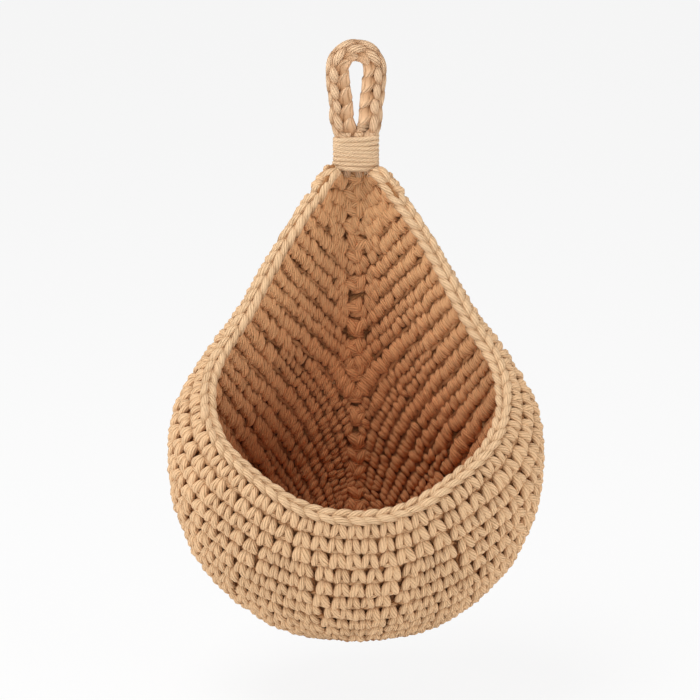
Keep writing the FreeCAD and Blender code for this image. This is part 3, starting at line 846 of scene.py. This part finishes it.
def rim_frames(spots):
    """Points, facing and sideways directions on the rim."""
    shape = spots.shape
    spots = np.clip(spots.ravel(), 0, RIM_ALONG[-1])
    place = smooth_through(RIM_ALONG, RIM_LINE, spots)
    ahead = smooth_through(RIM_ALONG, RIM_LINE, np.clip(spots + 1, 0, RIM_ALONG[-1]))
    behind = smooth_through(RIM_ALONG, RIM_LINE, np.clip(spots - 1, 0, RIM_ALONG[-1]))
    course = unit(ahead - behind)
    normal = outward(place)
    inward = np.cross(normal, course)
    away = ((place - MOUTH_MIDDLE) * inward).sum(axis=1)
    inward *= -np.sign(away)[:, None]
    facing = unit(0.8 * inward + 0.6 * normal)
    sideways = np.cross(course, facing)
    return (v.reshape(*shape, 3) for v in (place, facing, sideways))


def braid_arm(side, count, rings=11):
    """The links that lean to one side of the braid."""
    part = np.linspace(0, 1, rings)
    swell = np.sin(math.pi * part)
    middle = np.linspace(0.8 * RIM_LINK, RIM_ALONG[-1] - 0.8 * RIM_LINK, count)
    middle = middle + CHANCE.normal(0, 0.35, count)
    spots = middle[:, None] + (-0.88 + 1.76 * part)[None] * RIM_LINK
    place, facing, sideways = rim_frames(spots)
    lift = -2.0 + 4.6 * swell ** 0.6
    wander = side * (-0.2 + 4.9 * part ** 0.9 - 1.5 * part ** 4)
    wander = wander[None] + CHANCE.normal(0, 0.2, (count, 1))
    lines = place + lift[None, :, None] * facing + wander[:, :, None] * sideways
    radii = (0.8 + 1.45 * swell ** 0.5)[None] * (1 + CHANCE.normal(0, 0.06, (count, 1)))
    return lines, radii, facing[:, 0]


def braid():
    """The rim's braid, and the cord inside it."""
    count = int(round(RIM_ALONG[-1] / RIM_LINK))
    arms = [braid_arm(side, count) for side in (-1, 1)]
    shades = [CHANCE.random(count) for _ in arms]
    spots = np.linspace(0, RIM_ALONG[-1], CORE_RINGS)[None]
    place, facing, _ = rim_frames(spots)
    core = (place - 0.6 * facing, np.full((1, CORE_RINGS), 3.0), facing[:, 0])
    # Painted shade at the ends of the braid's links
    piece = tube_object("rim_braid", arms, shades, EDGING_CORD, 10, end_shade_paint=0.8)
    inner = tube_object("rim_core", [core], [np.array([0.2])], EDGING_CORD, 10)
    return piece, inner


# The rim braid and its core, with their placement applied to their meshes
for piece in braid():
    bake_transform(piece)
    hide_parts("rim_edging")


# Hanging loop
LOOP_HIGH = node_box("hanging_loop")[1]
BIND_LOW, BIND_HIGH = node_box("loop_binding")
STRAP_WIDE = 15.0
LOOP_LINK = 9.8
LOOP_RINGS = 90
GATHER_RUN = 7
LOOP_CORD = cord_material("loop_cord", (0.83, 0.56, 0.345), (0.40, 0.20, 0.082), 36.0, 9)
BINDING_CORD = cord_material("binding_cord", (0.87, 0.61, 0.38), (0.52, 0.29, 0.135), 16.0, 6)


def loop_line():
    """Middle line of the strap, up one leg, round the eye and down the other."""
    bend = LOOP_HIGH[0] - STRAP_WIDE / 2
    top = LOOP_HIGH[2] - LOOP_HIGH[0]
    foot = STRAP_WIDE / 2 + 0.1
    low = BIND_HIGH[2]
    turn = np.linspace(math.pi, 0, 33)
    arc = np.stack([bend * np.cos(turn), 0 * turn, top + bend * np.sin(turn)], axis=1)
    right = np.array([
        [bend - 0.5, 0, top - 10],
        [foot + 0.8, 0, top - 22],
        [foot + 0.1, 0, low + 7],
        [foot - 1.4, 0, low + 3],
        [foot - 3.4, 0, low - 1],
        [foot - 4.2, 0, low - 6],
    ])
    left = right[::-1] * MIRROR
    line = np.concatenate([left, arc, right])
    return line, along_line(line)


LOOP, LOOP_RUN = loop_line()


def loop_frames(spots):
    """Points, outward and frontward directions on the strap."""
    shape = spots.shape
    spots = np.clip(spots.ravel(), 0, LOOP_RUN[-1])
    place = smooth_through(LOOP_RUN, LOOP, spots)
    ahead = smooth_through(LOOP_RUN, LOOP, np.clip(spots + 1, 0, LOOP_RUN[-1]))
    behind = smooth_through(LOOP_RUN, LOOP, np.clip(spots - 1, 0, LOOP_RUN[-1]))
    course = unit(ahead - behind)
    front = np.broadcast_to(np.array([0.0, -1.0, 0.0]), course.shape)
    away = np.cross(front, course)
    gather = np.clip((place[:, 2:] - BIND_HIGH[2]) / GATHER_RUN, 0, 1)
    front = front * (0.55 + 0.45 * gather)
    return (v.reshape(*shape, 3) for v in (place, away, front))


def loop_leaf(middle, offset, depth, lift, thick, slant=0.0, reach=1.2, rings=9):
    """Leaf strands that run along the strap: offset from its middle, depth towards the front."""
    count = len(middle)
    part = np.linspace(0, 1, rings)
    swell = np.sin(math.pi * part)
    spots = middle[:, None] + (part - 0.5)[None] * LOOP_LINK * reach
    place, away, front = loop_frames(spots)
    across = offset + slant * (part - 0.5)
    across = across[None] + CHANCE.normal(0, 0.15, (count, 1))
    out = depth + lift * swell ** 0.8
    lines = place + across[:, :, None] * away + out[None, :, None] * front
    radii = (0.42 + 0.58 * swell ** 0.6)[None] * thick * (1 + CHANCE.normal(0, 0.05, (count, 1)))
    return lines, radii, front[:, 0] * np.sign(depth if depth else 1)


def loop_wrap(middle, slant, thick, rings=15):
    """Strands that go round the strap's inner edge from front to back."""
    part = np.linspace(0, 1, rings)
    turn = math.pi * part
    across = 1.0 - 5.2 * np.sin(turn) ** 0.55
    top = np.abs(middle / LOOP_RUN[-1] - 0.5)
    less = 1 - 0.30 * np.clip(1 - top / 0.16, 0, 1)
    out = 3.3 * np.cos(turn) + 0.9 * np.cos(turn) * np.sin(turn)
    along = slant * (np.sin(turn) - 0.5)
    spots = middle[:, None] + along[None]
    place, away, front = loop_frames(spots)
    wave = CHANCE.normal(0, 0.12, (len(middle), 1))
    inward = 1 + (across[None] - 1) * less[:, None] + wave
    lines = place + inward[:, :, None] * away + out[None, :, None] * front
    swell = 0.7 + 0.3 * np.sin(turn) ** 0.5
    radii = thick * swell[None] * (1 + CHANCE.normal(0, 0.03, (len(middle), 1)))
    lean = np.cos(turn)[None, :, None] * front - np.sin(turn)[None, :, None] * away
    return lines, radii, lean


def loop_pieces():
    """Leaves, broad wraps, fine wraps and cores of the strap."""
    count = int(round(LOOP_RUN[-1] / LOOP_LINK))
    middle = (np.arange(count) + 0.5) * LOOP_RUN[-1] / count
    half = LOOP_LINK / 2
    leaves = [
        loop_leaf(middle, 2.9, 2.0, 2.5, 2.6, slant=1.6),
        loop_leaf(middle, 2.9, -2.0, -2.5, 2.6, slant=-1.6),
        loop_leaf(middle + half, 5.9, 1.2, 0.9, 2.0, slant=-1.0),
        loop_leaf(middle + half, 5.9, -1.2, -0.9, 2.0, slant=1.0),
    ]
    blocks = loop_wrap(middle[:-2] + half, 6.0, 4.85)
    fine = np.concatenate([middle[-2:] + half + shift for shift in (-3.6, -1.2, 1.2, 3.6)])
    turns = loop_wrap(fine, 1.5, 1.6)
    shades = [CHANCE.random(len(group[0])) for group in leaves]
    spots = np.linspace(0, LOOP_RUN[-1], LOOP_RINGS)[None]
    place, away, front = loop_frames(spots)
    cores = [
        (place - 2.4 * away, np.full((1, LOOP_RINGS), 3.0), front[:, 0]),
        (place + 3.0 * away, np.full((1, LOOP_RINGS), 2.8), front[:, 0]),
    ]
    # Painted shade at the ends of the leaves and wraps
    piece = tube_object("loop_leaves", leaves, shades, LOOP_CORD, 10, end_shade_paint=1.0)
    tones = [CHANCE.random(len(blocks[0]))]
    wraps = tube_object("loop_wraps", [blocks], tones, LOOP_CORD, 20, 0.5, 0.45, end_shade_paint=1.0)
    few = tube_object("loop_fine_wraps", [turns], [CHANCE.random(len(turns[0]))], LOOP_CORD, 10)
    inner = tube_object("loop_core", cores, [np.array([0.1])] * 2, LOOP_CORD, 10)
    return piece, wraps, few, inner


for piece in loop_pieces():
    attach(piece, "hanger")
    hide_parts("hanging_loop")


# Binding
BIND_TURNS = 8
BIND_RADIUS = 1.55
BIND_LEAN = 0.09
BIND_RINGS = 72
BIND_SQUARE = 0.72
LEFT_FLARE = 0.12
RIGHT_FLARE = 0.02
FLARE_RUN = 1.6


def obround(turn, half_wide, half_deep):
    """A flattened round of the binding's section."""
    x = np.sign(np.cos(turn)) * np.abs(np.cos(turn)) ** BIND_SQUARE * half_wide
    y = np.sign(np.sin(turn)) * np.abs(np.sin(turn)) ** BIND_SQUARE * half_deep
    return x, y


def binding_line():
    """Middle line of the wound cord, flared at the foot and leaning."""
    part = np.arange(BIND_TURNS * BIND_RINGS + 1) / BIND_RINGS
    turn = part * 2 * math.pi + math.pi / 2
    cord = BIND_RADIUS
    side = np.where(np.cos(turn) < 0, LEFT_FLARE, RIGHT_FLARE)
    flare = 1 + side * np.clip((FLARE_RUN - part) / FLARE_RUN, 0, 1)
    x, y = obround(turn, (BIND_HIGH[0] - cord) * flare, (BIND_HIGH[1] - cord) * flare)
    tall = BIND_HIGH[2] - BIND_LOW[2] - 2 * cord
    z = BIND_LOW[2] + cord + tall * part / BIND_TURNS
    lean = BIND_LEAN * np.clip(1 - part / (BIND_TURNS - 1.5), 0, 1) ** 0.6
    z = z + 0.45 * np.sin(turn + 0.8 + 0.9 * part) - lean * x
    return np.stack([x, y, z], axis=1)


def binding():
    """The wound cord as one tube."""
    line = binding_line()[None]
    radii = np.full(line.shape[:2], BIND_RADIUS)
    lean = np.array([[0.0, 0.0, 1.0]])
    return tube_object("binding_turns", [(line, radii, lean)], [np.array([0.6])], BINDING_CORD, 10)


def neck_strands():
    """Cords of the strap that run down through the binding into the apex."""
    spread = np.linspace(-9.2, 9.2, 6)
    rise = np.linspace(0, 1, 12)
    lines = []
    for k, x in enumerate(spread):
        depth = -1.6 if k % 2 else 1.8
        top = np.array([x, depth, BIND_HIGH[2] + 1])
        foot = np.array([x * 0.95, depth + 1.0, POUCH_HIGH[2] - 3])
        lines.append(top + rise[:, None] * (foot - top))
    lines = np.array(lines)
    radii = np.tile(3.3 - 1.2 * rise ** 4, (len(lines), 1))
    lean = np.tile(np.array([0.0, -1.0, 0.0]), (len(lines), 1))
    return tube_object("neck_strands", [(lines, radii, lean)], [CHANCE.random(len(lines))], LOOP_CORD, 10)


neck_piece = neck_strands()
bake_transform(neck_piece)
binding_piece = binding()
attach(binding_piece, "hanger")
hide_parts("loop_binding")


# Camera at the photograph's angle
TARGET = Vector((0, -0.070, -0.200))
ELEVATION = math.radians(16)
DISTANCE = 1.7
PHOTO_PIXELS = 700
FRAME_WIDE = PHOTO_PIXELS * 0.0006
SHIFT_ACROSS = -6 / PHOTO_PIXELS
SHIFT_UP = 64.5 / PHOTO_PIXELS
SENSOR = 36


def camera():
    """The camera in front, a little above the mouth."""
    data = bpy.data.cameras.new("camera")
    data.sensor_width = SENSOR
    data.lens = SENSOR * DISTANCE / FRAME_WIDE
    data.shift_x = SHIFT_ACROSS
    data.shift_y = SHIFT_UP
    data.clip_end = 100
    made = bpy.data.objects.new("camera", data)
    bpy.context.scene.collection.objects.link(made)
    back = Vector((0, -math.cos(ELEVATION), math.sin(ELEVATION)))
    made.location = TARGET + back * DISTANCE
    made.rotation_euler = (-back).to_track_quat("-Z", "Y").to_euler()
    bpy.context.scene.camera = made


# Soft lamps: name, place, size in metres and power in watts
LAMPS = (
    ("top", (-0.45, -0.35, 1.25), 0.9, 15),
    ("left", (-1.5, -0.7, 0.0), 1.0, 12.5),
    ("right", (1.5, -0.7, 0.0), 1.0, 12),
    ("low", (0.0, -1.5, -0.55), 0.9, 14),
)
WORLD_LIGHT = 0.36
FLOOR_REACH = 30
FLOOR_DROP = 0.045
FLOOR_GLOW = 0.87


def area_light(name, place, size, power):
    """A round soft lamp that points at the basket."""
    data = bpy.data.lights.new(name, "AREA")
    data.shape = "DISK"
    data.size = size
    data.energy = power
    made = bpy.data.objects.new(name, data)
    bpy.context.scene.collection.objects.link(made)
    made.location = place
    made.rotation_euler = (TARGET - Vector(place)).to_track_quat("-Z", "Y").to_euler()


def stage():
    """White floor that keeps the shadow, and an even white world."""
    mesh = bpy.data.meshes.new("floor")
    level = UNDERSIDE * MM - FLOOR_DROP
    corners = [(x * FLOOR_REACH, y * FLOOR_REACH, level) for x, y in ((-1, -1), (1, -1), (1, 1), (-1, 1))]
    mesh.from_pydata(corners, [], [(0, 1, 2, 3)])
    floor = bpy.data.objects.new("floor", mesh)
    bpy.context.scene.collection.objects.link(floor)
    material = bpy.data.materials.new("floor_white")
    material.use_nodes = True
    nodes = material.node_tree.nodes
    links = material.node_tree.links
    nodes.clear()
    matt = nodes.new("ShaderNodeBsdfDiffuse")
    matt.inputs["Color"].default_value = (0.86, 0.86, 0.86, 1)
    glow = nodes.new("ShaderNodeEmission")
    path = nodes.new("ShaderNodeLightPath")
    seen = nodes.new("ShaderNodeMath")
    seen.operation = "MAXIMUM"
    links.new(path.outputs["Is Camera Ray"], seen.inputs[0])
    links.new(path.outputs["Is Glossy Ray"], seen.inputs[1])
    seen_all = nodes.new("ShaderNodeMath")
    seen_all.operation = "MAXIMUM"
    links.new(seen.outputs[0], seen_all.inputs[0])
    links.new(path.outputs["Is Transmission Ray"], seen_all.inputs[1])
    share = nodes.new("ShaderNodeMath")
    share.operation = "MULTIPLY"
    share.inputs[1].default_value = FLOOR_GLOW
    links.new(seen_all.outputs[0], share.inputs[0])
    mix = nodes.new("ShaderNodeMixShader")
    links.new(share.outputs[0], mix.inputs[0])
    links.new(matt.outputs[0], mix.inputs[1])
    links.new(glow.outputs[0], mix.inputs[2])
    out = nodes.new("ShaderNodeOutputMaterial")
    links.new(mix.outputs[0], out.inputs[0])
    mesh.materials.append(material)
    world = bpy.data.worlds.new("studio")
    world.use_nodes = True
    world.node_tree.nodes["Background"].inputs[0].default_value = (1, 1, 1, 1)
    world.node_tree.nodes["Background"].inputs[1].default_value = WORLD_LIGHT
    bpy.context.scene.world = world


camera()
stage()
for lamp in LAMPS:
    area_light(*lamp)
bpy.context.scene.view_settings.view_transform = "Standard"
